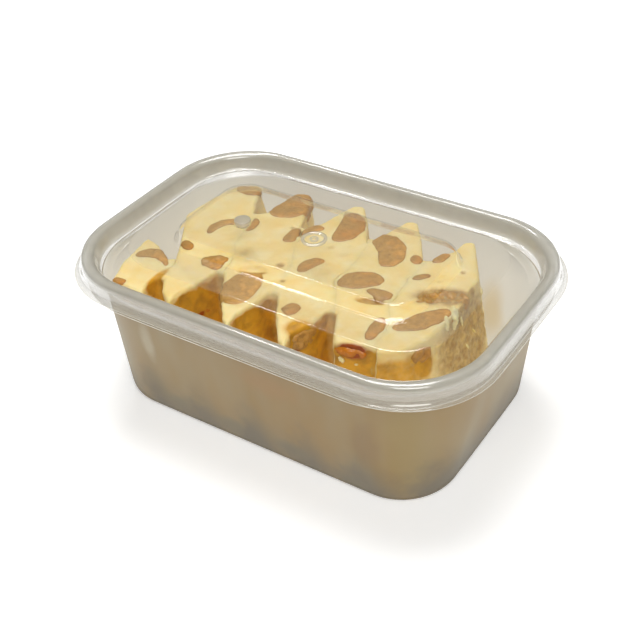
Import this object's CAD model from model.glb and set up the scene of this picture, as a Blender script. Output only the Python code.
"""Cashew halva in its lidded tub: the looks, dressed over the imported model.

Metres, +Z up. +X runs along the tub, -Y is the long side towards the viewer.
"""

import math

import bmesh
import bpy
from mathutils import Matrix, Vector, noise
from mathutils.bvhtree import BVHTree
from mathutils.kdtree import KDTree


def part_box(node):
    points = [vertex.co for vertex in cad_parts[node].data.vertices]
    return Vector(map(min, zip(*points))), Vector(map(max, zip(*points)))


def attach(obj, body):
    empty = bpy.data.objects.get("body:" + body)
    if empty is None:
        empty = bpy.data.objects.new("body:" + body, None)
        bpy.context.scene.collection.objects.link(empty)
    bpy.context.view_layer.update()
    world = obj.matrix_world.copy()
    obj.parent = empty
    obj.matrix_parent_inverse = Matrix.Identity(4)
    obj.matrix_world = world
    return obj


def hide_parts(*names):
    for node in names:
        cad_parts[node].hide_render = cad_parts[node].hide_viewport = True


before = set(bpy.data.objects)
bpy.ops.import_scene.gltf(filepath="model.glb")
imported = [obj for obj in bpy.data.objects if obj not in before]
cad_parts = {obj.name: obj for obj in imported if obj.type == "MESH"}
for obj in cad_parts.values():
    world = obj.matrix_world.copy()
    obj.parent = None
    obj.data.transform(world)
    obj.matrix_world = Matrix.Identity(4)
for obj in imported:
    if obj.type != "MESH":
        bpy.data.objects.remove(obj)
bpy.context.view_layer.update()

bl_info = {
    "name": "Cashew halva tub",
    "version": (1, 0, 0),
    "blender": (4, 5, 0),
    "location": "3D View > Sidebar > Halva",
    "description": "Dresses the cashew halva, its tub and its lid",
    "category": "Object",
}

MM = 0.001
BODY = "root"
TWO_FACES = 1.9          # a clear sheet mirrors at both faces, almost twice one
SLICES = sorted(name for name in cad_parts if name.startswith("slice_"))
CASHEWS = sorted(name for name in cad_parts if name.startswith("cashew_"))
LID_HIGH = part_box("lid")[1]
HALVA_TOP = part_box("slice_b")[1].z
SLICE_PITCH = 23.5 * MM  # from one slice to the next along the tub
STUD_OVER_BEAD = 5.65 * MM      # the stud is the lid's highest point
PP_IOR = 1.49            # polypropylene's


def linear(code):
    """Linear RGB of an sRGB hex code such as F2E3B0."""
    levels = [int(code[place:place + 2], 16) / 255 for place in (0, 2, 4)]
    return tuple(
        level / 12.92 if level <= 0.04045 else ((level + 0.055) / 1.055) ** 2.4
        for level in levels
    )


# ---- settings -----------------------------------------------------------


def colour(name, description, code):
    """A colour property with an sRGB default."""
    return bpy.props.FloatVectorProperty(
        name=name, description=description, subtype="COLOR", size=3,
        min=0.0, max=1.0, default=linear(code),
    )


def length(name, description, default):
    """A length property in metres."""
    return bpy.props.FloatProperty(
        name=name, description=description, default=default, min=0.0,
        unit="LENGTH", precision=5,
    )


def share(name, description, default):
    """A property between nought and one."""
    return bpy.props.FloatProperty(
        name=name, description=description, default=default, min=0.0, max=1.0,
        subtype="FACTOR",
    )


def power(name, description, default):
    """A lamp's power in watts."""
    return bpy.props.FloatProperty(
        name=name, description=description, default=default, min=0.0, unit="POWER",
    )


class LidSettings(bpy.types.PropertyGroup):
    """Sizes and colours of the snap lid."""

    half_length: length("Half length", "Half the lid's length", LID_HIGH.x)
    half_width: length("Half width", "Half the lid's width", LID_HIGH.y)
    bead_height: length("Bead height", "Top of the rim bead",
                        LID_HIGH.z - STUD_OVER_BEAD)
    wall: length("Wall", "Thickness of the sheet", 0.6 * MM)
    tint: colour("Plastic", "Colour of the polypropylene", "D8D5CA")
    veil: colour("Veil", "Colour of the level faces' haze, lit from below", "DFDDCE")
    trim: colour("Trimmed edge", "Colour of the sheet's cut edge", "E6E3D8")
    haze_flat: share("Haze of flats", "Cover of the level faces", 0.072)
    haze_flank: share("Haze of flanks", "Cover of the sloped faces", 0.0)
    haze_rim: share("Haze of rim", "Cover of the thick bead", 0.62)
    haze_hem: share("Haze of hem", "Cover of the skirt and its hem", 0.25)
    haze_stud: share("Haze of stud", "Cover of the thick stud", 0.6)


class TubSettings(bpy.types.PropertyGroup):
    """Sizes and colours of the frosted tub."""

    floor_half_length: length("Floor half length", "Half the base's length", 72.5 * MM)
    floor_half_width: length("Floor half width", "Half the base's width", 46.5 * MM)
    wall: length("Wall", "Thickness of the sheet", 0.7 * MM)
    cold: colour("Bare plastic", "Colour where no halva backs the wall", "998B64")
    warm: colour("Backed plastic", "Colour where halva backs the wall", "8B6A1C")
    gold: colour("Gold", "Colour where syrup or nut lies behind the wall", "906D20")
    dusk: colour("Foot", "Colour near the base, where little light gets in", "645534")
    inner: colour("Inner side", "Colour of the wall seen from inside", "B6B6B4")
    cloud: colour("Inner clouds", "Colour of its greyer clouds", "A6A6A2")
    smear: colour("Smear", "Colour of halva smeared on the inner side", "B8A472")
    daylight: colour("Daylight", "Colour of the light through the wall", "F0EFE8")
    cover: share("Cover", "How much of what is behind the wall it hides", 0.85)


class HalvaSettings(bpy.types.PropertyGroup):
    """Grain and colours of the halva."""

    voxel: length("Grain", "Size of the surface's facets", 0.7 * MM)
    cream: colour("Cream", "Colour of the cut face", "F7D78A")
    pale: colour("Pale cream", "Colour of drier patches", "FBE8B0")
    mustard: colour("Mustard", "Colour of the moist outer face", "E0A520")
    umber: colour("Umber", "Colour of its darker patches", "946410")
    amber: colour("Amber", "Colour of syrupy spots", "A04804")
    torn: colour("Torn", "Colour of the torn, nutty hollow", "B08B50")


class CashewSettings(bpy.types.PropertyGroup):
    """Grain and colours of the nuts."""

    voxel: length("Grain", "Size of the surface's facets", 0.42 * MM)
    grow: length("Fill", "How far the nut fills its pocket's gap", 0.55 * MM)
    pale: colour("Cut face", "Colour of a pale cut nut", "E4AB50")
    brown: colour("Roasted face", "Colour of a browner cut nut", "CE8930")
    dull: colour("Dull", "Colour of a nut's dull side", "BA9048")
    skin: colour("Skin", "Colour of the nut's edge", "8F6328")
    soaked: colour("Soaked", "Colour of a nut under syrup", "D07A10")


class StageSettings(bpy.types.PropertyGroup):
    """Floor, light and camera."""

    floor: colour("Floor", "Colour of the floor", "FAFAF9")
    key: power("Key", "Power of the overhead softbox", 7.0)
    window: power("Window", "Power of the window at the back left", 0.8)
    fill: power("Fill", "Power of the softbox above the camera", 7.6)
    room: bpy.props.FloatProperty(
        name="Room", description="Brightness of the room round the set", default=0.06,
        min=0.0,
    )
    floor_glow: share("Floor glow", "Light that the lit floor adds", 0.34)
    lens: bpy.props.FloatProperty(
        name="Lens", description="Focal length", default=62.16, unit="CAMERA",
    )


# ---- shared tools -------------------------------------------------------


def new_piece(name, mesh, materials, replaced=()):
    """Links a piece at the origin, riding on the model's one body."""
    piece = bpy.data.objects.new(name, mesh)
    for finish in materials:
        mesh.materials.append(finish)
    bpy.context.scene.collection.objects.link(piece)
    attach(piece, BODY)
    if replaced:
        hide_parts(*replaced)
    return piece


def mesh_from(shape, name, unit=1.0):
    """Turns a bmesh, drawn in the given unit, into a smooth-shaded mesh in metres."""
    bmesh.ops.scale(shape, vec=(unit, unit, unit), verts=shape.verts)
    mesh = bpy.data.meshes.new(name)
    shape.to_mesh(mesh)
    shape.free()
    mesh.shade_smooth()
    return mesh


def rounded_ring(shape, half_length, half_width, corner, height, steps):
    """Edges of a rounded rectangle at a height, made by rounding a plane's corners."""
    made = bmesh.ops.create_grid(
        shape, x_segments=1, y_segments=1, size=1.0,
        matrix=Matrix.Translation((0.0, 0.0, height))
        @ Matrix.Diagonal((half_length, half_width, 1.0, 1.0)),
    )
    face = made["verts"][0].link_faces[0]
    faces_before = set(shape.faces) - {face}
    bmesh.ops.bevel(
        shape, geom=made["verts"], offset=corner, offset_type="OFFSET",
        segments=steps, profile=0.5, affect="VERTICES", material=-1,
    )
    (face,) = set(shape.faces) - faces_before
    edges = list(face.edges)
    bmesh.ops.delete(shape, geom=[face], context="FACES_ONLY")
    return edges


def round_ring(shape, radius, height, count):
    """Edges of a circle at a height, with its first point at +X."""
    made = bmesh.ops.create_circle(
        shape, cap_ends=False, segments=count, radius=radius,
        matrix=Matrix.Translation((0.0, 0.0, height)),
    )
    return list({edge for vert in made["verts"] for edge in vert.link_edges})


def bridge(shape, outer, inner, index):
    """Joins two rings with faces of one material index."""
    made = bmesh.ops.bridge_loops(shape, edges=outer + inner)
    for face in made["faces"]:
        face.material_index = index


def face_upwards(shape, probe):
    """Makes an open sheet's faces agree, with those near the probe facing up."""
    bmesh.ops.remove_doubles(shape, verts=shape.verts, dist=0.01)
    bmesh.ops.recalc_face_normals(shape, faces=shape.faces)
    nearest = min(shape.faces, key=lambda f: (f.calc_center_median() - probe).length)
    if nearest.normal.z < 0:
        bmesh.ops.reverse_faces(shape, faces=shape.faces)


SHEET_LEVELS = 2         # of smoothing


def finish_sheet(piece, wall, inner_offset, edge_offset):
    """A wall grown inwards from the sheet, then smoothed.

    The offsets say how far on in the list of materials the inner side's and the
    trimmed edge's stand.
    """
    thick = piece.modifiers.new("wall", "SOLIDIFY")
    thick.thickness = wall
    thick.offset = -1.0
    thick.use_even_offset = True
    thick.material_offset = inner_offset
    thick.material_offset_rim = edge_offset
    smooth = piece.modifiers.new("smooth", "SUBSURF")
    smooth.levels = SHEET_LEVELS
    smooth.render_levels = SHEET_LEVELS


def mark(mesh, **levels):
    """Writes each named list of levels to the mesh's points, for its material."""
    for name, values in levels.items():
        mesh.attributes.new(name, "FLOAT", "POINT").data.foreach_set("value", values)


def smoothstep(low, high, value):
    """Nought up to low, one from high on, smooth between; high may be the smaller."""
    t = min(max((value - low) / (high - low), 0.0), 1.0)
    return t * t * (3 - 2 * t)


def new_material(name):
    """An empty node material."""
    made = bpy.data.materials.new(name)
    made.use_nodes = True
    made.node_tree.nodes.clear()
    return made


def add_node(material, kind, inputs=None, **settings):
    """Adds a node, to a material or a world, with its settings.

    The inputs map a socket's name or number to a value or to another node's output.
    """
    tree = material.node_tree
    node = tree.nodes.new(kind)
    for key, value in settings.items():
        setattr(node, key, value)
    for socket, value in (inputs or {}).items():
        if isinstance(value, bpy.types.NodeSocket):
            tree.links.new(value, node.inputs[socket])
        else:
            node.inputs[socket].default_value = value
    return node


def rgba(rgb):
    """A colour with full alpha."""
    return (*rgb, 1.0)


# ---- materials ----------------------------------------------------------

# A Mix node of colours takes its factor at input 0 and its colours at 6 and 7, and
# gives their blend at output 2.


def clear_polypropylene(name, tint, haze, roughness):
    """Thin thermoformed polypropylene: clear, with a milky veil and sharp glints.

    The veil is the sheet's own scatter, a little uneven over some 8 mm where the
    mould drew the sheet thinner or thicker; it closes up where the sheet is seen
    edge-on. The glints are what its two faces mirror over whatever shows through.
    """
    made = new_material(name)
    place = add_node(made, "ShaderNodeTexCoord").outputs["Object"]
    mottle = add_node(made, "ShaderNodeTexNoise", {
        "Vector": place, "Scale": 1 / (8 * MM), "Detail": 1.0, "Roughness": 0.5,
    })
    ripple = add_node(made, "ShaderNodeTexNoise", {
        "Vector": place, "Scale": 1 / (12 * MM), "Detail": 1.0,
    })
    bump = add_node(made, "ShaderNodeBump", {
        "Height": ripple.outputs["Fac"], "Strength": 0.2, "Distance": 0.4 * MM,
    })
    # The veil, which closes up edge-on, over the clear sheet.
    veil_level = add_node(made, "ShaderNodeMapRange", {
        "Value": mottle.outputs["Fac"], "From Min": 0.3, "From Max": 0.7,
        "To Min": haze * 0.92, "To Max": haze * 1.08,
    })
    edge_on = add_node(made, "ShaderNodeLayerWeight", {"Blend": 0.35})
    closed = add_node(made, "ShaderNodeMath", {
        0: edge_on.outputs["Facing"], 1: 3.0,
    }, operation="POWER")
    covered = add_node(made, "ShaderNodeMapRange", {
        "Value": closed.outputs[0], "From Min": 0.0, "From Max": 1.0,
        "To Min": veil_level.outputs["Result"], "To Max": min(1.0, haze * 2.2 + 0.2),
    })
    back_lit = add_node(made, "ShaderNodeBsdfTranslucent", {"Color": rgba(tint)})
    front_lit = add_node(made, "ShaderNodeBsdfDiffuse", {"Color": rgba(tint)})
    veil = add_node(made, "ShaderNodeMixShader", {
        0: 0.5, 1: front_lit.outputs[0], 2: back_lit.outputs[0],
    })
    clear = add_node(made, "ShaderNodeBsdfTransparent", {"Color": (1, 1, 1, 1)})
    body = add_node(made, "ShaderNodeMixShader", {
        0: covered.outputs["Result"], 1: clear.outputs[0], 2: veil.outputs[0],
    })
    # The glints, where a face is seen from its front, which mirrors for both.
    gloss = add_node(made, "ShaderNodeBsdfAnisotropic", {
        "Color": (1, 1, 1, 1), "Roughness": roughness,
        "Normal": bump.outputs["Normal"],
    })
    fresnel = add_node(made, "ShaderNodeFresnel", {
        "IOR": PP_IOR, "Normal": bump.outputs["Normal"],
    })
    side = add_node(made, "ShaderNodeNewGeometry")
    outer = add_node(made, "ShaderNodeMath", {
        0: side.outputs["Backfacing"], 1: -TWO_FACES, 2: TWO_FACES,
    }, operation="MULTIPLY_ADD")
    mirror = add_node(made, "ShaderNodeMath", {
        0: fresnel.outputs[0], 1: outer.outputs[0],
    }, operation="MULTIPLY", use_clamp=True)
    both = add_node(made, "ShaderNodeMixShader", {
        0: mirror.outputs[0], 1: body.outputs[0], 2: gloss.outputs[0],
    })
    add_node(made, "ShaderNodeOutputMaterial", {"Surface": both.outputs[0]})
    return made


def cut_edge(name, settings):
    """The sheet's trimmed edge: it lets out light that the sheet gathers, so it shines."""
    made = new_material(name)
    place = add_node(made, "ShaderNodeTexCoord").outputs["Object"]
    nicks = add_node(made, "ShaderNodeTexNoise", {
        "Vector": place, "Scale": 1 / (5 * MM), "Detail": 2.0,
    })
    level = add_node(made, "ShaderNodeMapRange", {
        "Value": nicks.outputs["Fac"], "From Min": 0.35, "From Max": 0.65,
        "To Min": 0.55, "To Max": 0.95,
    })
    shader = add_node(made, "ShaderNodeBsdfPrincipled", {
        "Base Color": rgba(settings.trim), "Roughness": 0.3, "IOR": PP_IOR,
        "Alpha": level.outputs["Result"], "Emission Color": rgba(settings.tint),
        "Emission Strength": 0.25,
    })
    add_node(made, "ShaderNodeOutputMaterial", {"Surface": shader.outputs[0]})
    return made


FOOT_STAIN = "6C5E3A"
WALL_STAINS = (
    # what shows through the front wall: its middle (x, z) and half sizes (mm), its
    # colour and how strongly it shows
    ((-43.5, 36.0), (3.5, 11.0), "B0A284", 0.7),
    ((11.0, 40.0), (15.0, 7.0), "986C22", 0.6),
    ((50.0, 29.0), (7.0, 13.0), "7E5E24", 0.6),
    ((64.0, 30.0), (8.0, 26.0), "90772F", 0.6),
    ((-34.6, 8.5), (7.0, 5.0), FOOT_STAIN, 0.7),
    ((-9.0, 8.0), (8.0, 5.0), FOOT_STAIN, 0.7),
    ((17.0, 9.0), (9.0, 4.5), FOOT_STAIN, 0.6),
    ((44.0, 5.0), (8.0, 4.0), FOOT_STAIN, 0.7),
)


def frosted_polypropylene(name, settings, top):
    """Frosted moulded polypropylene: a satin wall that shows its contents as blurs.

    Where halva backs the wall the colour turns warm, in soft upright bands as wide
    as a slice, and gold over syrup and nuts. At the tub's ends it stays the cold
    grey of bare plastic, and between the slices it dims higher up than elsewhere.
    The stains are the few darker and paler things that lie against the front wall.
    """
    made = new_material(name)
    place = add_node(made, "ShaderNodeTexCoord").outputs["Object"]
    split = add_node(made, "ShaderNodeSeparateXYZ", {"Vector": place})
    # Warm upright bands, which give way to bare plastic at the tub's ends.
    upright = add_node(made, "ShaderNodeMapping", {
        "Vector": place, "Scale": (1.0, 1.0, 0.35),
    })
    blur = add_node(made, "ShaderNodeTexNoise", {
        "Vector": upright.outputs[0], "Scale": 1 / (22 * MM), "Detail": 2.0,
        "Roughness": 0.5,
    })
    warmth = add_node(made, "ShaderNodeMapRange", {
        "Value": blur.outputs["Fac"], "From Min": 0.36, "From Max": 0.64,
        "To Min": 0.35, "To Max": 1.0,
    })
    along = add_node(made, "ShaderNodeMath", {0: split.outputs["X"]},
                     operation="ABSOLUTE")
    inwards = add_node(made, "ShaderNodeMapRange", {
        "Value": along.outputs[0], "From Min": 60 * MM, "From Max": 76 * MM,
        "To Min": 1.0, "To Max": 0.15,
    }, interpolation_type="SMOOTHSTEP")
    level = add_node(made, "ShaderNodeMath", {
        0: warmth.outputs["Result"], 1: inwards.outputs["Result"],
    }, operation="MULTIPLY")
    tint = add_node(made, "ShaderNodeMix", {
        0: level.outputs[0], 6: rgba(settings.cold), 7: rgba(settings.warm),
    }, data_type="RGBA")
    # Gold over syrup and nuts.
    gold = add_node(made, "ShaderNodeTexNoise", {
        "Vector": upright.outputs[0], "Scale": 1 / (26 * MM), "Detail": 1.0,
        "W": 3.0,
    }, noise_dimensions="4D")
    gold_level = add_node(made, "ShaderNodeMapRange", {
        "Value": gold.outputs["Fac"], "From Min": 0.45, "From Max": 0.65,
        "To Min": 0.0, "To Max": 0.8,
    })
    gilded = add_node(made, "ShaderNodeMix", {
        0: gold_level.outputs["Result"], 6: tint.outputs[2], 7: rgba(settings.gold),
    }, data_type="RGBA")
    # The dusk at the foot: ragged, and higher between the slices.
    patches = add_node(made, "ShaderNodeTexNoise", {
        "Vector": place, "Scale": 1 / (14 * MM), "Detail": 3.0, "Roughness": 0.55,
    })
    shifted = add_node(made, "ShaderNodeMath", {
        0: patches.outputs["Fac"], 1: 10 * MM, 2: split.outputs["X"],
    }, operation="MULTIPLY_ADD")
    turns = add_node(made, "ShaderNodeMath", {
        0: shifted.outputs[0], 1: 2 * math.pi / SLICE_PITCH,
    }, operation="MULTIPLY")
    between = add_node(made, "ShaderNodeMath", {0: turns.outputs[0]}, operation="SINE")
    arched = add_node(made, "ShaderNodeMath", {
        0: between.outputs[0], 1: -5 * MM, 2: split.outputs["Z"],
    }, operation="MULTIPLY_ADD")
    ragged = add_node(made, "ShaderNodeMath", {
        0: patches.outputs["Fac"], 1: -20 * MM, 2: arched.outputs[0],
    }, operation="MULTIPLY_ADD")
    depth = add_node(made, "ShaderNodeMapRange", {
        "Value": ragged.outputs[0], "From Min": -12 * MM, "From Max": top * 0.3,
        "To Min": 1.0, "To Max": 0.0,
    }, interpolation_type="SMOOTHSTEP")
    dimmed = add_node(made, "ShaderNodeMix", {
        0: depth.outputs["Result"], 6: gilded.outputs[2], 7: rgba(settings.dusk),
    }, data_type="RGBA")
    # The stains, on the front wall only.
    front = add_node(made, "ShaderNodeMapRange", {
        "Value": split.outputs["Y"], "From Min": -20 * MM, "From Max": -32 * MM,
    })
    blurred = dimmed
    for (x, z), (half_width, half_height), shade, strength in WALL_STAINS:
        across = add_node(made, "ShaderNodeMath", {
            0: split.outputs["X"], 1: 1 / (half_width * MM), 2: -x / half_width,
        }, operation="MULTIPLY_ADD")
        up = add_node(made, "ShaderNodeMath", {
            0: split.outputs["Z"], 1: 1 / (half_height * MM), 2: -z / half_height,
        }, operation="MULTIPLY_ADD")
        flat = add_node(made, "ShaderNodeCombineXYZ", {
            "X": across.outputs[0], "Y": up.outputs[0],
        })
        reach = add_node(made, "ShaderNodeVectorMath", {0: flat.outputs[0]},
                         operation="LENGTH")
        broken = add_node(made, "ShaderNodeMath", {
            0: patches.outputs["Fac"], 1: 1.1, 2: reach.outputs["Value"],
        }, operation="MULTIPLY_ADD")
        inside = add_node(made, "ShaderNodeMapRange", {
            "Value": broken.outputs[0], "From Min": 1.75, "From Max": 0.85,
            "To Min": 0.0, "To Max": strength,
        }, interpolation_type="SMOOTHSTEP")
        masked = add_node(made, "ShaderNodeMath", {
            0: inside.outputs["Result"], 1: front.outputs["Result"],
        }, operation="MULTIPLY")
        blurred = add_node(made, "ShaderNodeMix", {
            0: masked.outputs[0], 6: blurred.outputs[2], 7: rgba(linear(shade)),
        }, data_type="RGBA")
    # The frosting's own fine grain.
    grain = add_node(made, "ShaderNodeTexNoise", {
        "Vector": place, "Scale": 1 / (0.5 * MM), "Detail": 2.0,
    })
    bump = add_node(made, "ShaderNodeBump", {
        "Height": grain.outputs["Fac"], "Strength": 0.15, "Distance": 0.05 * MM,
    })
    shader = add_node(made, "ShaderNodeBsdfPrincipled", {
        "Base Color": blurred.outputs[2], "Roughness": 0.42, "IOR": PP_IOR,
        "Alpha": settings.cover, "Normal": bump.outputs["Normal"],
    })
    add_node(made, "ShaderNodeOutputMaterial", {"Surface": shader.outputs[0]})
    return made


INNER_COVER = 0.93       # little of the outer side shows through the lit inner one
SMEAR_PLACE = Vector((50.0, 48.0, 22.0)) * MM    # halva smeared on the back wall
SMEAR_RADII = Vector((7.0, 9.0, 15.0)) * MM


def inner_polypropylene(name, settings):
    """The same wall from inside: paler, as daylight comes through it.

    The light dims where halva is smeared over it.
    """
    made = new_material(name)
    place = add_node(made, "ShaderNodeTexCoord").outputs["Object"]
    cloud = add_node(made, "ShaderNodeTexNoise", {
        "Vector": place, "Scale": 1 / (20 * MM), "Detail": 2.0,
    })
    clouded = add_node(made, "ShaderNodeMix", {
        0: cloud.outputs["Fac"], 6: rgba(settings.inner), 7: rgba(settings.cloud),
    }, data_type="RGBA")
    away = add_node(made, "ShaderNodeVectorMath", {0: place, 1: SMEAR_PLACE},
                    operation="SUBTRACT")
    shares = add_node(made, "ShaderNodeVectorMath", {
        0: away.outputs[0], 1: SMEAR_RADII,
    }, operation="DIVIDE")
    reach = add_node(made, "ShaderNodeVectorMath", {0: shares.outputs[0]},
                     operation="LENGTH")
    ragged = add_node(made, "ShaderNodeMath", {
        0: cloud.outputs["Fac"], 1: 0.8, 2: reach.outputs["Value"],
    }, operation="MULTIPLY_ADD")
    greasy = add_node(made, "ShaderNodeMapRange", {
        "Value": ragged.outputs[0], "From Min": 1.6, "From Max": 0.6,
        "To Min": 0.0, "To Max": 0.6,
    }, interpolation_type="SMOOTHSTEP")
    tone = add_node(made, "ShaderNodeMix", {
        0: greasy.outputs["Result"], 6: clouded.outputs[2], 7: rgba(settings.smear),
    }, data_type="RGBA")
    daylight = add_node(made, "ShaderNodeMix", {
        0: greasy.outputs["Result"], 6: rgba(settings.daylight),
        7: rgba(settings.smear),
    }, data_type="RGBA")
    shader = add_node(made, "ShaderNodeBsdfPrincipled", {
        "Base Color": tone.outputs[2], "Roughness": 0.45, "IOR": PP_IOR,
        "Alpha": INNER_COVER, "Emission Color": daylight.outputs[2],
        "Emission Strength": 0.5,
    })
    add_node(made, "ShaderNodeOutputMaterial", {"Surface": shader.outputs[0]})
    return made


def cream_halva(name, settings):
    """Pressed milk halva: fatty and dense, cut with a knife; light sinks in a little.

    The "moist", "syrup" and "torn" attributes say where the golden outer skin, the
    syrupy spots and the torn places are. The drag lines come from the knife.
    """
    made = new_material(name)
    place = add_node(made, "ShaderNodeTexCoord").outputs["Object"]
    # Cream, paler in drier patches.
    patches = add_node(made, "ShaderNodeTexNoise", {
        "Vector": place, "Scale": 1 / (11 * MM), "Detail": 4.0, "Roughness": 0.6,
    })
    patch_level = add_node(made, "ShaderNodeMapRange", {
        "Value": patches.outputs["Fac"], "From Min": 0.35, "From Max": 0.7,
    })
    body = add_node(made, "ShaderNodeMix", {
        0: patch_level.outputs["Result"], 6: rgba(settings.cream),
        7: rgba(settings.pale),
    }, data_type="RGBA")
    smear = add_node(made, "ShaderNodeTexNoise", {
        "Vector": place, "Scale": 1 / (2.5 * MM), "Detail": 4.0, "Roughness": 0.65,
    })
    smear_shift = add_node(made, "ShaderNodeMath", {0: smear.outputs["Fac"], 1: -0.5},
                           operation="ADD")

    def spread(attribute, sharpness):
        """The attribute with its edge broken up by the smears."""
        level = add_node(made, "ShaderNodeAttribute", attribute_name=attribute)
        broken = add_node(made, "ShaderNodeMath", {
            0: smear_shift.outputs[0], 1: sharpness, 2: level.outputs["Fac"],
        }, operation="MULTIPLY_ADD", use_clamp=True)
        held = add_node(made, "ShaderNodeMath", {
            0: broken.outputs[0], 1: level.outputs["Fac"],
        }, operation="MULTIPLY")
        raised = add_node(made, "ShaderNodeMath", {0: held.outputs[0], 1: 1.25},
                          operation="MULTIPLY", use_clamp=True)
        return raised.outputs[0]

    moist = spread("moist", 0.5)
    syrup = spread("syrup", 1.2)
    torn = spread("torn", 1.0)
    # The moist skin: mustard, with umber patches and cream streaks.
    glaze = add_node(made, "ShaderNodeTexNoise", {
        "Vector": place, "Scale": 1 / (6 * MM), "Detail": 3.0, "Roughness": 0.55,
        "Distortion": 0.4,
    })
    glaze_level = add_node(made, "ShaderNodeMapRange", {
        "Value": glaze.outputs["Fac"], "From Min": 0.40, "From Max": 0.70,
        "To Min": 0.0, "To Max": 0.6,
    })
    streak = add_node(made, "ShaderNodeTexNoise", {
        "Vector": place, "Scale": 1 / (3.2 * MM), "Detail": 2.0, "Distortion": 1.6,
    }, noise_type="RIDGED_MULTIFRACTAL")
    streak_level = add_node(made, "ShaderNodeMapRange", {
        "Value": streak.outputs["Fac"], "From Min": 1.15, "From Max": 1.5,
        "To Min": 0.0, "To Max": 0.45,
    })
    skin = add_node(made, "ShaderNodeMix", {
        0: glaze_level.outputs["Result"], 6: rgba(settings.mustard),
        7: rgba(settings.umber),
    }, data_type="RGBA")
    streaked = add_node(made, "ShaderNodeMix", {
        0: streak_level.outputs["Result"], 6: skin.outputs[2], 7: rgba(settings.cream),
    }, data_type="RGBA")
    skinned = add_node(made, "ShaderNodeMix", {
        0: moist, 6: body.outputs[2], 7: streaked.outputs[2],
    }, data_type="RGBA")
    # Torn places show cream crumbs; syrup covers everything.
    crumb = add_node(made, "ShaderNodeTexNoise", {
        "Vector": place, "Scale": 1 / (2.8 * MM), "Detail": 3.0, "Roughness": 0.6,
    })
    crumb_level = add_node(made, "ShaderNodeMapRange", {
        "Value": crumb.outputs["Fac"], "From Min": 0.40, "From Max": 0.68,
        "To Min": 0.0, "To Max": 0.4,
    })
    rough = add_node(made, "ShaderNodeMix", {
        0: crumb_level.outputs["Result"], 6: rgba(settings.torn),
        7: rgba(settings.cream),
    }, data_type="RGBA")
    opened = add_node(made, "ShaderNodeMix", {
        0: torn, 6: skinned.outputs[2], 7: rough.outputs[2],
    }, data_type="RGBA")
    shade = add_node(made, "ShaderNodeMix", {
        0: syrup, 6: opened.outputs[2], 7: rgba(settings.amber),
    }, data_type="RGBA")
    # Fine grain, with the knife's drag lines over it.
    grain = add_node(made, "ShaderNodeTexNoise", {
        "Vector": place, "Scale": 1 / (0.9 * MM), "Detail": 5.0, "Roughness": 0.7,
    })
    drag = add_node(made, "ShaderNodeMapping", {
        "Vector": place, "Rotation": (0.0, 0.0, math.radians(-20)),
        "Scale": (1.0, 0.12, 1.0),
    })
    lines = add_node(made, "ShaderNodeTexNoise", {
        "Vector": drag.outputs[0], "Scale": 1 / (1.4 * MM), "Detail": 3.0,
    })
    relief = add_node(made, "ShaderNodeMath", {
        0: lines.outputs["Fac"], 1: 0.6, 2: grain.outputs["Fac"],
    }, operation="MULTIPLY_ADD")
    bump = add_node(made, "ShaderNodeBump", {
        "Height": relief.outputs[0], "Strength": 0.5, "Distance": 0.25 * MM,
    })
    roughness = add_node(made, "ShaderNodeMath", {0: syrup, 1: -0.30, 2: 0.52},
                         operation="MULTIPLY_ADD")
    shader = add_node(made, "ShaderNodeBsdfPrincipled", {
        "Base Color": shade.outputs[2], "Roughness": roughness.outputs[0], "IOR": 1.46,
        "Subsurface Weight": 0.5, "Subsurface Scale": 3.5 * MM,
        "Subsurface Radius": (1.0, 0.75, 0.3), "Normal": bump.outputs["Normal"],
    })
    add_node(made, "ShaderNodeOutputMaterial", {"Surface": shader.outputs[0]})
    return made


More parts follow.
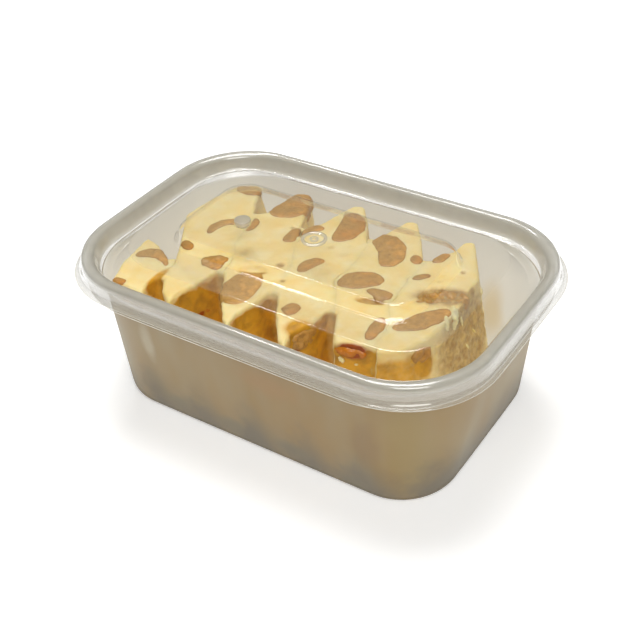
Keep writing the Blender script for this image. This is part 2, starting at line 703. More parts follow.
def cut_cashew(name, settings):
    """Roasted cashew cut across: a waxy tan face in a browner skin.

    "skin_depth" is nought at the nut's edge and one in the middle of its face;
    "roast" is each nut's own shade, "lean" runs across it from its dull side to its
    bright one, and "soaked" says how far syrup covers it.
    """
    made = new_material(name)
    place = add_node(made, "ShaderNodeTexCoord").outputs["Object"]
    roast = add_node(made, "ShaderNodeAttribute", attribute_name="roast")
    depth = add_node(made, "ShaderNodeAttribute", attribute_name="skin_depth")
    face = add_node(made, "ShaderNodeMix", {
        0: roast.outputs["Fac"], 6: rgba(settings.pale), 7: rgba(settings.brown),
    }, data_type="RGBA")
    # Duller on one side.
    drift = add_node(made, "ShaderNodeTexNoise", {
        "Vector": place, "Scale": 1 / (7 * MM), "Detail": 2.0,
    })
    lean = add_node(made, "ShaderNodeAttribute", attribute_name="lean")
    drifted = add_node(made, "ShaderNodeMath", {
        0: lean.outputs["Fac"], 1: 0.22, 2: drift.outputs["Fac"],
    }, operation="MULTIPLY_ADD")
    drift_level = add_node(made, "ShaderNodeMapRange", {
        "Value": drifted.outputs[0], "From Min": 0.42, "From Max": 0.72,
        "To Min": 0.85, "To Max": 0.0,
    })
    dulled = add_node(made, "ShaderNodeMix", {
        0: drift_level.outputs["Result"], 6: face.outputs[2],
        7: rgba(settings.dull),
    }, data_type="RGBA")
    # Clouds of the skin's colour, and a browner edge.
    cloud = add_node(made, "ShaderNodeTexNoise", {
        "Vector": place, "Scale": 1 / (2.4 * MM), "Detail": 4.0, "Roughness": 0.65,
        "Distortion": 0.6,
    })
    cloud_level = add_node(made, "ShaderNodeMapRange", {
        "Value": cloud.outputs["Fac"], "From Min": 0.40, "From Max": 0.68,
        "To Min": 0.0, "To Max": 0.62,
    })
    clouded = add_node(made, "ShaderNodeMix", {
        0: cloud_level.outputs["Result"], 6: dulled.outputs[2], 7: rgba(settings.skin),
    }, data_type="RGBA")
    edge = add_node(made, "ShaderNodeMapRange", {
        "Value": depth.outputs["Fac"], "From Min": 0.1, "From Max": 0.7,
        "To Min": 0.3, "To Max": 0.0,
    })
    rimmed = add_node(made, "ShaderNodeMix", {
        0: edge.outputs["Result"], 6: clouded.outputs[2], 7: rgba(settings.skin),
    }, data_type="RGBA")
    # Syrup colours the nut and makes it shine.
    soaked = add_node(made, "ShaderNodeAttribute", attribute_name="soaked")
    shade = add_node(made, "ShaderNodeMix", {
        0: soaked.outputs["Fac"], 6: rimmed.outputs[2], 7: rgba(settings.soaked),
    }, data_type="RGBA")
    roughness = add_node(made, "ShaderNodeMath", {
        0: soaked.outputs["Fac"], 1: -0.25, 2: 0.42,
    }, operation="MULTIPLY_ADD")
    grain = add_node(made, "ShaderNodeTexNoise", {
        "Vector": place, "Scale": 1 / (0.8 * MM), "Detail": 4.0,
    })
    bump = add_node(made, "ShaderNodeBump", {
        "Height": grain.outputs["Fac"], "Strength": 0.25, "Distance": 0.15 * MM,
    })
    shader = add_node(made, "ShaderNodeBsdfPrincipled", {
        "Base Color": shade.outputs[2], "Roughness": roughness.outputs[0], "IOR": 1.47,
        "Subsurface Weight": 0.12, "Subsurface Scale": 1.2 * MM,
        "Subsurface Radius": (1.0, 0.6, 0.3), "Normal": bump.outputs["Normal"],
    })
    add_node(made, "ShaderNodeOutputMaterial", {"Surface": shader.outputs[0]})
    return made


# ---- lid ----------------------------------------------------------------

HEM, RIM, FLAT, FLANK, EDGE = range(5)
LID_ROWS = (
    # inset from the outline, corner radius, height over the bead (mm), finish
    (0.0, 34.9, -7.4, HEM),
    (0.2, 34.8, -6.9, HEM),
    (2.3, 33.4, -6.4, HEM),
    (2.7, 33.0, -1.9, HEM),
    (3.3, 32.5, -0.6, RIM),
    (4.5, 31.6, 0.0, RIM),
    (6.2, 30.6, -0.25, RIM),
    (7.3, 30.2, -1.2, RIM),
    (7.8, 29.5, -2.6, RIM),
    (8.8, 27.6, -5.4, RIM),
    (9.6, 25.6, -6.4, RIM),
    (11.4, 24.0, -6.4, FLANK),
    (12.6, 23.4, -5.6, FLANK),
    (19.0, 20.35, -0.8, FLANK),
    (19.5, 20.1, -0.38, FLANK),
    (19.8, 19.95, -0.16, FLAT),
    (20.2, 19.8, -0.08, FLAT),
    (25.0, 17.6, 0.05, FLAT),
    (33.0, 14.4, 0.2, FLAT),
    (33.6, 14.0, 0.3, FLAT),
    (34.0, 13.7, 0.6, FLANK),
    (36.2, 10.5, 4.2, FLANK),
    (36.45, 10.3, 4.55, FLANK),
    (36.7, 10.15, 4.69, FLAT),
    (37.1, 9.95, 4.73, FLAT),
    (40.5, 8.0, 4.75, FLAT),
)
CORNER_STEPS = 12        # edges round each corner of a ring
GATE_RINGS = (
    # radius, height over the panel (mm), finish
    (12.0, 0.0, FLAT), (7.0, 0.0, FLAT), (5.4, 0.0, FLAT), (4.9, 0.0, FLAT),
    (4.7, 0.16, RIM), (4.4, 0.3, RIM), (4.1, 0.3, RIM), (3.8, 0.16, RIM),
    (3.6, 0.0, RIM), (3.2, 0.0, FLAT), (1.5, 0.0, FLAT), (1.2, 0.12, RIM),
)
# The stud's sizes, in mm.
STUD_PLACE = (-30.6, -2.9)
STUD_RADIUS = 3.2
STUD_HEIGHT = 0.9
STUD_DROP = 1.3          # how far the stud reaches below the panel's top
STUD_ROUND = 0.3         # of its upper edge
STUD_SEGMENTS = 32


def build_lid(settings):
    """The lid's sheet: rounded rings bridged from the skirt's hem to the centre."""
    shape = bmesh.new()
    before = None
    for inset, corner, height, finish in LID_ROWS:
        ring = rounded_ring(
            shape, settings.half_length / MM - inset, settings.half_width / MM - inset,
            corner, settings.bead_height / MM + height, CORNER_STEPS,
        )
        if before:
            bridge(shape, before, ring, finish)
        before = ring
    panel = settings.bead_height / MM + LID_ROWS[-1][2]
    count = 4 * (CORNER_STEPS + 1)
    for radius, lift, finish in GATE_RINGS:
        ring = round_ring(shape, radius, panel + lift, count)
        bridge(shape, before, ring, finish)
        before = ring
    cap = bmesh.ops.contextual_create(shape, geom=before)
    for face in cap["faces"]:
        face.material_index = FLAT
    face_upwards(shape, Vector((0.0, 0.0, panel)))
    finishes = [
        clear_polypropylene("clear PP, hem", settings.tint, settings.haze_hem, 0.12),
        clear_polypropylene("clear PP, bead", settings.tint, settings.haze_rim, 0.14),
        clear_polypropylene("clear PP, level", settings.veil, settings.haze_flat, 0.07),
        clear_polypropylene("clear PP, flanks", settings.veil, settings.haze_flank, 0.06),
        cut_edge("clear PP, trimmed edge", settings),
    ]
    lid = new_piece("lid_sheet", mesh_from(shape, "lid_sheet", MM), finishes,
                    ["lid"])
    finish_sheet(lid, settings.wall, 0, EDGE - HEM)
    stud = clear_polypropylene("clear PP, stud", settings.tint, settings.haze_stud, 0.12)
    build_stud(panel, stud)


def build_stud(panel, finish):
    """The short stud on the raised panel."""
    shape = bmesh.new()
    bmesh.ops.create_cone(
        shape, cap_ends=True, segments=STUD_SEGMENTS, radius1=STUD_RADIUS,
        radius2=STUD_RADIUS, depth=STUD_HEIGHT + STUD_DROP,
        matrix=Matrix.Translation((*STUD_PLACE, panel + (STUD_HEIGHT - STUD_DROP) / 2)),
    )
    upper = [edge for edge in shape.edges if min(v.co.z for v in edge.verts) > panel]
    bmesh.ops.bevel(
        shape, geom=upper, offset=STUD_ROUND, segments=3, profile=0.5, affect="EDGES",
        material=-1,
    )
    new_piece("lid_stud", mesh_from(shape, "lid_stud", MM), [finish])


# ---- tub ----------------------------------------------------------------

TUB_RIM_ROWS = (
    # inset along X and Y from the lid's outline, corner radius, height (mm)
    (3.4, 1.8, 37.6, 52.9),
    (3.8, 2.9, 36.2, 53.9),
    (4.3, 4.1, 34.4, 54.7),
    (4.4, 4.3, 34.0, 60.2),
    (4.8, 4.8, 33.5, 61.3),
    (5.3, 5.3, 33.1, 61.3),
    (5.8, 5.8, 33.0, 60.2),
    (6.0, 6.0, 33.2, 55.4),
    (7.1, 7.1, 35.4, 53.6),
)
# The wall's and the floor's sizes, in mm.
WALL_TOP = 53.2
WALL_INSET = 7.16        # from the lid's outline, at the wall's top
WALL_CORNER = 35.7
FLOOR_CORNER = 22.3
FLOOR_FILLET = 3.5
FILLET_STEPS = 4
FLOOR_RING = (55.0, 30.0, 12.0, 0.0)     # half length and width, corner, height
WALL_HEIGHTS = (52.0, 40.0, 28.0, 15.0, 6.0, FLOOR_FILLET)
FLANGE, WALL = range(2)
TUB_INNER_STEP, TUB_EDGE_STEP = 2, 4     # finish_sheet's two offsets


def build_tub(settings, lid):
    """The tub's sheet: hooked rim, drafted wall, filleted foot and floor."""
    shape = bmesh.new()
    half_length, half_width = lid.half_length / MM, lid.half_width / MM
    floor_length = settings.floor_half_length / MM
    floor_width = settings.floor_half_width / MM
    rings = []
    for inset_x, inset_y, corner, height in TUB_RIM_ROWS:
        rings.append((half_length - inset_x, half_width - inset_y, corner, height))
    for height in WALL_HEIGHTS:
        rise = height / WALL_TOP
        rings.append((
            floor_length * (1 - rise) + (half_length - WALL_INSET) * rise,
            floor_width * (1 - rise) + (half_width - WALL_INSET) * rise,
            FLOOR_CORNER * (1 - rise) + WALL_CORNER * rise,
            height,
        ))
    for step in range(1, FILLET_STEPS + 1):
        angle = math.pi / 2 * step / FILLET_STEPS
        draw_in = FLOOR_FILLET * (1 - math.cos(angle))
        rings.append((
            floor_length - draw_in, floor_width - draw_in, FLOOR_CORNER - draw_in,
            FLOOR_FILLET * (1 - math.sin(angle)),
        ))
    rings.append(FLOOR_RING)
    before = None
    for index, ring in enumerate(rings):
        made = rounded_ring(shape, *ring, CORNER_STEPS)
        if before:
            bridge(shape, before, made, FLANGE if index < len(TUB_RIM_ROWS) else WALL)
        before = made
    cap = bmesh.ops.contextual_create(shape, geom=before)
    for face in cap["faces"]:
        face.material_index = WALL
    # The sheet's outer side is under the floor, so its floor faces down.
    face_upwards(shape, Vector((0.0, 0.0, 0.0)))
    bmesh.ops.reverse_faces(shape, faces=shape.faces)
    flange = clear_polypropylene("clear PP, tub flange", lid.tint, lid.haze_hem, 0.18)
    finishes = [
        flange,
        frosted_polypropylene("frosted PP, tub wall", settings, WALL_TOP * MM),
        flange,
        inner_polypropylene("frosted PP, inner side", settings),
        cut_edge("clear PP, tub's trimmed edge", lid),
    ]
    tub = new_piece("tub_sheet", mesh_from(shape, "tub_sheet", MM), finishes,
                    ["tub"])
    finish_sheet(tub, settings.wall, TUB_INNER_STEP, TUB_EDGE_STEP)


# ---- halva --------------------------------------------------------------

# Places on the slices: middle and radii (mm), heading (degrees).
SYRUP_SPOTS = (
    ((37.2, -35.0, 53.0), (8.5, 4.0, 5.0), 17),
    ((39.2, -33.4, 52.6), (2.4, 3.0, 2.6), 17),
    ((13.5, -37.0, 46.0), (3.5, 4.0, 2.4), 0),
    ((-33.5, -30.0, 41.0), (2.2, 2.6, 1.6), 0),
    ((57.5, -20.0, 50.0), (3.6, 3.0, 2.6), 50),
    ((60.5, -23.0, 46.5), (3.6, 3.0, 2.6), 50),
)
MOIST_SPOTS = (
    ((-18.5, -14.0, 54.0), (7.5, 2.2, 2.5), 20),
    ((28.8, -8.2, 53.6), (8.0, 2.4, 2.6), 16),
)
TORN_HOLLOW = (
    ((50.8, 6.2, 54.0), (15.0, 7.6, 4.0), 28),
)
CRUMBLY_SPOTS = (
    ((61.5, 8.0, 42.0), (7.0, 31.0, 24.0), 0),
    ((58.5, 13.5, 53.0), (4.0, 7.0, 5.0), 0),
)
GOLDEN_SPOTS = (
    # where the moist skin comes up over the top
    ((15.6, -34.4, 52.5), (7.0, 6.5, 9.0), 20),
    ((-48.6, -34.0, 52.5), (2.6, 9.0, 6.0), 0),
    ((58.5, -21.0, 46.0), (6.0, 5.5, 7.0), 30),
)
SPECKS = (
    # place on the tops, radius (mm), strength
    ((-23.3, 18.7), 1.3, 0.8), ((-12.6, -5.3), 2.4, 0.9), ((-5.9, -13.2), 1.4, 0.9),
    ((-2.3, 13.9), 2.2, 0.45), ((4.6, 12.2), 3.0, 0.35), ((49.7, 23.2), 1.5, 0.9),
    ((44.9, 13.8), 1.6, 0.4), ((-42.7, -24.1), 3.2, 0.35), ((-39.7, -0.4), 2.2, 0.25),
)
POCKET_GAP = 0.36 * MM       # what closes the gap round a nut
PRESSED_REACH = 3.4 * MM     # a wall nearer than this to the next slice meets it
PRESSED_UNDER = 1.5 * MM     # how far under the tops the gap is measured
WALL_TILT = 0.35             # the least sideways part of a wall's normal
SEAM_LAP = 0.8 * MM          # how far a pressed wall reaches into the next slice
SEAM_DIP = 0.3 * MM          # how far that hidden lip lies under the tops
LIP_DEPTHS = (2.6 * MM, 1.3 * MM)    # between which it is drawn up
SPOT_FADE = (0.55, 1.15)     # shares of a spot's radii between which it fades out
SPECK_FADE = (0.4, 1.1)
# How much of the moist skin's colour a slice takes, where it isn't all of it.
MOIST_SHARE = {"slice_a": 0.9, "slice_f": 0.85}
# Between which depths under the top the moist skin sets in.
SKIN_DEPTH_USUAL = (0.6 * MM, 3.4 * MM)
SKIN_DEPTH = {"slice_f": (0.8 * MM, 6.0 * MM)}
SKIN_EDGE = (0.8 * MM, 2.6 * MM)     # and how far past the front's left end
SKIN_FRONT = (-14 * MM, -24 * MM)    # and where along Y, towards the viewer
SKIN_HEADING = Vector((0.62, -0.78, 0.0))    # the way that moist faces look
# Between which upward parts of its normal a face counts as a worn edge and as the
# cut top, and between which depths that top ends.
EDGE_SLOPES = (0.15, 0.4)
TOP_SLOPES = (0.80, 0.97)
TOP_DEPTHS = (4 * MM, 2 * MM)
FOOT_HEIGHTS = (0.5 * MM, 3 * MM)    # between which the relief sets in
# Relief of the halva: height (mm), size of its features (mm), octaves.
KNIFE_WAVE = (0.2, 7.0, 4)
CRAGS = (0.30, 3.0, 4)
BROAD_CRAGS = (0.25, 8.0, 2)
CHIPS = (0.6, 4.0, 3)
CHIP_FLOOR = 0.09            # mm of that relief which takes nothing off
HOLLOW_RELIEF = (0.8, 2.4, 4)
HOLLOW_SHIFT = Vector((3, 1, 2)) * MM    # to a part of the noise of its own
CRUMBLY_RELIEF = (0.5, 3.0, 3)
SKIN_RAGGED = (1.6, 5.0, 3)
# How far the surface is worn back, in mm.
TOP_WEAR = 0.08
SIDE_WEAR = 0.3
EDGE_WEAR = 0.15
CRUMBLY_WEAR = 0.4
SPECK_WEAR = 0.45


def spot_level(point, spots):
    """How far a point lies inside any of the spots, from nought to one."""
    best = 0.0
    for middle, radii, heading in spots:
        turn = math.radians(heading)
        x, y, z = point / MM - Vector(middle)
        along = x * math.cos(turn) + y * math.sin(turn)
        across = y * math.cos(turn) - x * math.sin(turn)
        reach = math.sqrt(
            (along / radii[0]) ** 2 + (across / radii[1]) ** 2 + (z / radii[2]) ** 2
        )
        best = max(best, 1 - smoothstep(*SPOT_FADE, reach))
    return best


def speck_level(point):
    """How far a point of a slice's top lies inside a small dent or brown speck."""
    best = 0.0
    for (x, y), radius, strength in SPECKS:
        reach = math.hypot(point.x / MM - x, point.y / MM - y) / radius
        best = max(best, strength * (1 - smoothstep(*SPECK_FADE, reach)))
    return best


def solid_of(node, grow=0.0):
    """A merged copy of a CAD node's solid, as a bmesh, grown sideways and down."""
    shape = bmesh.new()
    shape.from_mesh(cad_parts[node].data)
    bmesh.ops.remove_doubles(shape, verts=shape.verts, dist=0.00001)
    shape.normal_update()
    for vert in shape.verts:
        normal = vert.normal
        vert.co += Vector((normal.x, normal.y, min(normal.z, 0.0))) * grow
    return shape


def remeshed(shape, name, voxel):
    """A fine even mesh of a solid; pieces that overlap become one."""
    holder = bpy.data.objects.new(name, mesh_from(shape, name))
    bpy.context.scene.collection.objects.link(holder)
    remesh = holder.modifiers.new("grain", "REMESH")
    remesh.mode = "VOXEL"
    remesh.voxel_size = voxel
    graph = bpy.context.evaluated_depsgraph_get()
    mesh = bpy.data.meshes.new_from_object(holder.evaluated_get(graph))
    bpy.data.objects.remove(holder)
    mesh.name = name
    return mesh


def relief(point, height, size, octaves):
    """Fractal noise of about the given height, either way, with features of a size."""
    return height * noise.fractal(point / (size * MM), 1.0, 2.0, octaves)


def press(mesh, neighbours):
    """Swells the walls that lie against the next slice, so that the tops run on."""
    moves = []
    for vert in mesh.vertices:
        point = vert.co
        depth = HALVA_TOP - point.z
        move = Vector((0.0, 0.0, 0.0))
        flat = Vector((vert.normal.x, vert.normal.y, 0.0))
        if flat.length > WALL_TILT:
            flat.normalize()
            start = Vector((point.x, point.y, min(point.z, HALVA_TOP - PRESSED_UNDER)))
            hits = [tree.ray_cast(start, flat, PRESSED_REACH) for tree in neighbours]
            gap = min([hit[3] for hit in hits if hit[0]], default=PRESSED_REACH)
            pressed = smoothstep(PRESSED_REACH, 0.7 * PRESSED_REACH, gap)
            lift = (depth - SEAM_DIP) * smoothstep(*LIP_DEPTHS, depth)
            move = (flat * (gap + SEAM_LAP) + Vector((0.0, 0.0, lift))) * pressed
        moves.append(move)
    for vert, move in zip(mesh.vertices, moves):
        vert.co += move


def skin_level(point, normal, depth, left, name):
    """How far the moist golden skin covers a point of a slice's front or right."""
    facing = smoothstep(0.15, 0.6, normal.dot(SKIN_HEADING))
    front = smoothstep(*SKIN_FRONT, point.y)
    ragged = relief(point, *SKIN_RAGGED) * MM
    strip = smoothstep(*SKIN_EDGE, point.x - left + ragged)
    roll = smoothstep(*SKIN_DEPTH.get(name, SKIN_DEPTH_USUAL), depth + ragged)
    return facing * front * roll * strip * MOIST_SHARE.get(name, 1.0)


def crumble(mesh, name):
    """Knife drag on top, torn crags on the walls and chips along the cut edges."""
    moist, syrup, torn, moves = [], [], [], []
    # The front's left end, on its upper part.
    left = min(
        v.co.x for v in mesh.vertices if v.normal.y < -0.6 and v.co.z > HALVA_TOP * 0.6
    )
    for vert in mesh.vertices:
        point, normal = vert.co.copy(), vert.normal.copy()
        depth = HALVA_TOP - point.z
        top = smoothstep(*TOP_SLOPES, normal.z) * smoothstep(*TOP_DEPTHS, depth)
        edge = smoothstep(*EDGE_SLOPES, normal.z) * (1 - top)
        side = 1 - max(top, edge)
        crag = relief(point, *CRAGS) + relief(point, *BROAD_CRAGS)
        chip = max(0.0, relief(point, *CHIPS) - CHIP_FLOOR)
        rip = spot_level(point, TORN_HOLLOW)
        crumbly = spot_level(point, CRUMBLY_SPOTS) * (1 - 0.6 * top)
        speck = speck_level(point) * top
        shift = top * (relief(point, *KNIFE_WAVE) - TOP_WEAR)
        shift += side * (crag - SIDE_WEAR) - edge * (EDGE_WEAR + chip)
        shift += rip * relief(point + HOLLOW_SHIFT, *HOLLOW_RELIEF)
        shift += crumbly * (relief(point, *CRUMBLY_RELIEF) - CRUMBLY_WEAR)
        shift -= speck * SPECK_WEAR
        moves.append(normal * shift * MM * smoothstep(*FOOT_HEIGHTS, point.z))
        hollow = spot_level(point, MOIST_SPOTS)
        golden = max(hollow, spot_level(point, GOLDEN_SPOTS))
        moist.append(max(skin_level(point, normal, depth, left, name), golden))
        syrup.append(spot_level(point, SYRUP_SPOTS))
        torn.append(max(rip, 0.85 * crumbly, speck, 0.8 * hollow))
    for vert, move in zip(mesh.vertices, moves):
        vert.co += move
    mark(mesh, moist=moist, syrup=syrup, torn=torn)


def build_slices(settings):
    """Each slice, with its nuts' pockets closed, remeshed finely and roughened."""
    finish = cream_halva("milk halva, knife cut", settings)
    trees = {}
    for name in SLICES:
        shape = solid_of(name)
        trees[name] = BVHTree.FromBMesh(shape)
        shape.free()
    for name in SLICES:
        shape = solid_of(name)
        for nut in CASHEWS:
            if nut[-2] == name[-1]:      # as cashew_b3 and slice_b do
                filler = mesh_from(solid_of(nut, POCKET_GAP), nut)
                shape.from_mesh(filler)
                bpy.data.meshes.remove(filler)
        pressed = remeshed(shape, name + "_pressed", settings.voxel)
        press(pressed, [trees[other] for other in SLICES if other != name])
        shape = bmesh.new()
        shape.from_mesh(pressed)
        bpy.data.meshes.remove(pressed)
        mesh = remeshed(shape, name + "_cut", settings.voxel)
        crumble(mesh, name)
        mesh.shade_smooth()
        new_piece(name + "_cut", mesh, [finish], [name])


# ---- cashews ------------------------------------------------------------

# Each nut's own roast, and how far syrup covers it.
ROAST = {
    "cashew_a1": 0.3, "cashew_a2": 1.0, "cashew_b1": 0.1, "cashew_b3": 1.0,
    "cashew_c2": 0.45, "cashew_c4": 0.0, "cashew_d1": 0.9, "cashew_d3": 0.7,
    "cashew_d4": 0.0, "cashew_e1": 0.35, "cashew_e2": 0.8, "cashew_e3": 0.55,
    "cashew_e5": 0.6, "cashew_f2": 0.8, "cashew_f3": 0.3, "cashew_f4": 0.0,
    "cashew_f5": 0.1,
}
ROAST_USUAL = 0.5
SOAKED = {"cashew_e6": 0.9, "cashew_b5": 0.7, "cashew_f4": 0.12}
SKIN_REACH = 1.3 * MM    # how far in from its edge a nut's skin browns its face
OUTLINE_PASSES = 28      # of smoothing
FACE_SLOPE = 0.75        # the least upward part of the normal on a nut's face
NUT_PROUD = 0.22         # mm by which a nut's face stands over the worn halva
# Relief of the nuts: height (mm), size of its features (mm), octaves.
NUT_FACE = (0.06, 5.0, 2)
NUT_OUTLINE = (1.1, 4.0, 3)
OUTLINE_SHIFT = Vector((7, 2, 5)) * MM   # to a part of the noise of its own
NUT_SMEARED = (0.3, 4.0, 3)      # halva smeared over it buries parts of its face
SMEAR_FLOOR = 0.036              # mm of that relief which buries nothing
TORN_FACES = {"cashew_f5": (0.9, 2.2, 4), "cashew_b4": (0.25, 2.2, 4)}


def shape_nut(mesh, name, grow):
    """Rounds the nut's outline, lets it wander and roughens its face."""
    shape = bmesh.new()
    shape.from_mesh(mesh)
    for _ in range(OUTLINE_PASSES):
        bmesh.ops.smooth_vert(
            shape, verts=shape.verts, factor=0.5, use_axis_x=True, use_axis_y=True,
        )
    shape.normal_update()
    for vert in shape.verts:
        point, normal = vert.co.copy(), vert.normal
        upwards = max(normal.z, 0.0)
        lift = NUT_PROUD + upwards * relief(point, *NUT_FACE)
        if name in TORN_FACES:
            lift += upwards * relief(point, *TORN_FACES[name])
        lift -= max(0.0, relief(point, *NUT_SMEARED) - SMEAR_FLOOR)
        wander = relief(point + OUTLINE_SHIFT, *NUT_OUTLINE) * MM
        outwards = Vector((normal.x, normal.y, min(normal.z, 0.0)))
        vert.co += outwards * (grow + wander * (1 - upwards))
        vert.co.z += lift * MM
    shape.to_mesh(mesh)
    shape.free()


def mark_nut(mesh, name):
    """Marks how deep each point lies in the face, how far across, and its shade."""
    rims = [v.index for v in mesh.vertices if v.normal.z < FACE_SLOPE]
    tree = KDTree(len(rims))
    for index in rims:
        tree.insert(mesh.vertices[index].co, index)
    tree.balance()
    places = [v.co.x for v in mesh.vertices]
    near, far = min(places), max(places)
    count = len(places)
    mark(
        mesh,
        skin_depth=[min(tree.find(v.co)[2] / SKIN_REACH, 1.0) for v in mesh.vertices],
        lean=[2 * (place - near) / (far - near) - 1 for place in places],
        roast=[ROAST.get(name, ROAST_USUAL)] * count,
        soaked=[SOAKED.get(name, 0.0)] * count,
    )


def build_cashews(settings):
    """Each nut, smoothed from its solid, with its skin marked round the cut face."""
    finish = cut_cashew("roasted cashew, cut", settings)
    for name in CASHEWS:
        mesh = remeshed(solid_of(name), name + "_cut", settings.voxel)
        shape_nut(mesh, name, settings.grow)
        mark_nut(mesh, name)
        mesh.shade_smooth()
        new_piece(name + "_cut", mesh, [finish], [name])


# ---- crumbs -------------------------------------------------------------

LOOSE_BITS = (
    # one end, other end and half the width of each crumb or flake (mm)
    ((32.6, -34.6, 48.9), (33.2, -34.2, 48.0), 1.0),
    ((56.6, 1.4, 55.5), (59.4, -1.6, 54.0), 1.3),
    ((58.2, 0.0, 55.0), (60.4, -2.6, 51.0), 1.1),
    ((57.4, -5.2, 55.3), (58.9, -6.6, 52.5), 1.0),
    ((59.0, 2.7, 51.7), (59.8, 3.0, 48.3), 0.6),
    ((59.6, 25.0, 50.0), (59.8, 25.4, 49.6), 0.6),
    ((37.6, -33.0, 47.1), (37.9, -32.8, 47.1), 0.5),
    ((59.5, 11.9, 40.0), (59.8, 13.0, 38.4), 0.6),
    ((61.3, 3.7, 39.3), (61.6, 4.0, 38.3), 0.5),
)


# Shares of a crumb's half width.
CRUMB_LIFT = 0.35
CRUMB_FLATNESS = 0.7
CRUMB_RELIEF = 0.7


def nearest_ground(place, grounds):
    """The point of the slices nearest to a place, with its normal."""
    hits = [tree.find_nearest(Vector(place) * MM) for tree in grounds]
    return min(hits, key=lambda hit: hit[3])


def build_crumbs(settings):
    """Loose crumbs and flakes of halva, each set on the slice that carries it."""
    graph = bpy.context.evaluated_depsgraph_get()
    grounds = [
        BVHTree.FromObject(bpy.data.objects[name + "_cut"], graph) for name in SLICES
    ]
    shape = bmesh.new()
    for first, last, half_width in LOOSE_BITS:
        ends = [nearest_ground(place, grounds) for place in (first, last)]
        start, stop = (hit[0] for hit in ends)
        outwards = (ends[0][1] + ends[1][1]).normalized()
        along = stop - start
        radius = half_width * MM
        stretch = (along.length / 2 + radius) / radius
        turn = along.to_track_quat("X", "Z").to_matrix().to_4x4()
        middle = (start + stop) / 2 + outwards * radius * CRUMB_LIFT
        made = bmesh.ops.create_icosphere(
            shape, subdivisions=3, radius=radius,
            matrix=Matrix.Translation(middle) @ turn
            @ Matrix.Diagonal((stretch, 1.0, CRUMB_FLATNESS, 1.0)),
        )
        for vert in made["verts"]:
            away = (vert.co - middle).normalized()
            swell = CRUMB_RELIEF * noise.noise(vert.co / radius * 1.3)
            vert.co += away * radius * swell
    mesh = mesh_from(shape, "crumbs")
    bare = [0.0] * len(mesh.vertices)
    mark(mesh, moist=bare, syrup=bare, torn=bare)
    finish = cream_halva("milk halva, crumbs", settings)
    new_piece("crumbs", mesh, [finish])


# ---- stage --------------------------------------------------------------

FLOOR_HALF_SIZE = 3.0
FLOOR_DROP = 0.1 * MM        # keeps it clear of the tub's base
# Each softbox's place and size, in metres.
OVERHEAD = ((-0.16, 0.2, 1.0), 0.5)
WINDOW = ((-0.5, 0.36, 0.85), 0.09)
FILL = ((0.5, -0.62, 0.95), 0.6)
LIT_PLACE = Vector((0.0, 0.0, 0.04))
# The camera's place in metres, its angles in degrees and its sensor in mm.
CAMERA_PLACE = Vector((0.1983, -0.2796, 0.2888))
CAMERA_AZIMUTH = 35.300
CAMERA_ELEVATION = 37.014
CAMERA_ROLL = -3.687
SENSOR = 36.0


def camera_turn():
    """The camera's rotation: its heading, its tilt down and its roll."""
    azimuth, elevation = math.radians(CAMERA_AZIMUTH), math.radians(CAMERA_ELEVATION)
    forwards = Vector((
        -math.sin(azimuth) * math.cos(elevation),
        math.cos(azimuth) * math.cos(elevation),
        -math.sin(elevation),
    ))
    level = forwards.to_track_quat("-Z", "Y").to_matrix()
    return level @ Matrix.Rotation(math.radians(CAMERA_ROLL), 3, "Z")


def build_stage(settings):
    """Pale floor, a dim room, three softboxes and the camera."""
    scene = bpy.context.scene
    scene.view_settings.view_transform = "Standard"
    shape = bmesh.new()
    bmesh.ops.create_grid(shape, x_segments=1, y_segments=1, size=FLOOR_HALF_SIZE,
                          matrix=Matrix.Translation((0.0, 0.0, -FLOOR_DROP)))
    floor = bpy.data.objects.new("floor", mesh_from(shape, "floor"))
    paint = new_material("matt pale card")
    card = add_node(paint, "ShaderNodeBsdfPrincipled", {
        "Base Color": rgba(settings.floor), "Roughness": 0.9,
        "Specular IOR Level": 0.0, "Emission Color": (1.0, 1.0, 1.0, 1.0),
        "Emission Strength": settings.floor_glow,
    })
    add_node(paint, "ShaderNodeOutputMaterial", {"Surface": card.outputs[0]})
    floor.data.materials.append(paint)
    scene.collection.objects.link(floor)

    world = bpy.data.worlds.new("studio")
    world.use_nodes = True
    world.node_tree.nodes.clear()
    glow = add_node(world, "ShaderNodeBackground", {
        "Color": (1.0, 0.995, 0.985, 1.0), "Strength": settings.room,
    })
    add_node(world, "ShaderNodeOutputWorld", {"Surface": glow.outputs[0]})
    scene.world = world

    softbox("softbox overhead", *OVERHEAD, settings.key)
    softbox("window", *WINDOW, settings.window)
    softbox("fill above the camera", *FILL, settings.fill)

    camera_data = bpy.data.cameras.new("camera")
    camera_data.lens = settings.lens
    camera_data.sensor_width = SENSOR
    camera_data.clip_start = 0.01
    camera = bpy.data.objects.new("camera", camera_data)
    camera.matrix_world = Matrix.Translation(CAMERA_PLACE) @ camera_turn().to_4x4()
    scene.collection.objects.link(camera)
    scene.camera = camera


def softbox(name, place, size, power):
    """A square area light that looks at the tub."""
    data = bpy.data.lights.new(name, "AREA")
    data.shape = "SQUARE"
    data.size = size
    data.energy = power
    lamp = bpy.data.objects.new(name, data)
    lamp.location = place
    towards = LIT_PLACE - Vector(place)
    lamp.rotation_euler = towards.to_track_quat("-Z", "Y").to_euler()
    bpy.context.scene.collection.objects.link(lamp)


# ---- operators and panel ------------------------------------------------


class HALVA_OT_tub(bpy.types.Operator):
    """Build the frosted tub"""

    bl_idname = "halva.tub"
    bl_label = "Tub"

    def execute(self, context):
        build_tub(context.scene.halva_tub, context.scene.halva_lid)
        return {"FINISHED"}


class HALVA_OT_lid(bpy.types.Operator):
    """Build the clear snap lid"""

    bl_idname = "halva.lid"
    bl_label = "Lid"

    def execute(self, context):
        build_lid(context.scene.halva_lid)
        return {"FINISHED"}


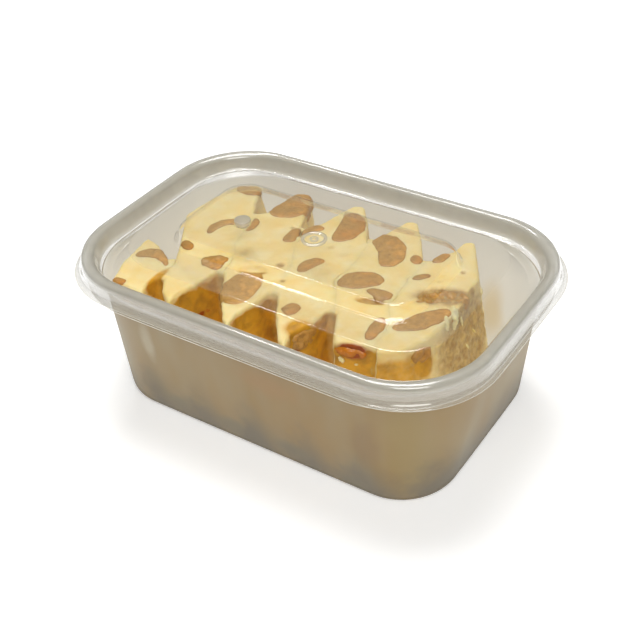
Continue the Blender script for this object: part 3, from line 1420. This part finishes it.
class HALVA_OT_slices(bpy.types.Operator):
    """Build the halva slices"""

    bl_idname = "halva.slices"
    bl_label = "Slices"

    def execute(self, context):
        build_slices(context.scene.halva_sweet)
        return {"FINISHED"}


class HALVA_OT_cashews(bpy.types.Operator):
    """Build the cut cashews"""

    bl_idname = "halva.cashews"
    bl_label = "Cashews"

    def execute(self, context):
        build_cashews(context.scene.halva_nuts)
        return {"FINISHED"}


class HALVA_OT_crumbs(bpy.types.Operator):
    """Drop loose crumbs on the slices"""

    bl_idname = "halva.crumbs"
    bl_label = "Crumbs"

    def execute(self, context):
        build_crumbs(context.scene.halva_sweet)
        return {"FINISHED"}


class HALVA_OT_stage(bpy.types.Operator):
    """Set the floor, the light and the camera"""

    bl_idname = "halva.stage"
    bl_label = "Stage"

    def execute(self, context):
        build_stage(context.scene.halva_stage)
        return {"FINISHED"}


OPERATORS = (HALVA_OT_stage, HALVA_OT_tub, HALVA_OT_slices, HALVA_OT_cashews,
             HALVA_OT_crumbs, HALVA_OT_lid)
GROUPS = {
    "halva_lid": LidSettings, "halva_tub": TubSettings, "halva_sweet": HalvaSettings,
    "halva_nuts": CashewSettings, "halva_stage": StageSettings,
}


class HALVA_PT_panel(bpy.types.Panel):
    """Sizes, colours and steps of the cashew halva"""

    bl_idname = "HALVA_PT_panel"
    bl_label = "Cashew halva"
    bl_space_type = "VIEW_3D"
    bl_region_type = "UI"
    bl_category = "Halva"

    def draw(self, context):
        for operator in OPERATORS:
            self.layout.operator(operator.bl_idname)
        for key, group in GROUPS.items():
            box = self.layout.box()
            for name in group.__annotations__:
                box.prop(getattr(context.scene, key), name)


def register():
    for key, group in GROUPS.items():
        bpy.utils.register_class(group)
        setattr(bpy.types.Scene, key, bpy.props.PointerProperty(type=group))
    for item in (*OPERATORS, HALVA_PT_panel):
        bpy.utils.register_class(item)


def unregister():
    for item in reversed((*OPERATORS, HALVA_PT_panel)):
        bpy.utils.unregister_class(item)
    for key, group in GROUPS.items():
        delattr(bpy.types.Scene, key)
        bpy.utils.unregister_class(group)


def main():
    """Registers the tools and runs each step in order."""
    register()
    bpy.ops.halva.stage()
    bpy.ops.halva.tub()
    bpy.ops.halva.slices()
    bpy.ops.halva.cashews()
    bpy.ops.halva.crumbs()
    bpy.ops.halva.lid()


if __name__ == "__main__":
    main()
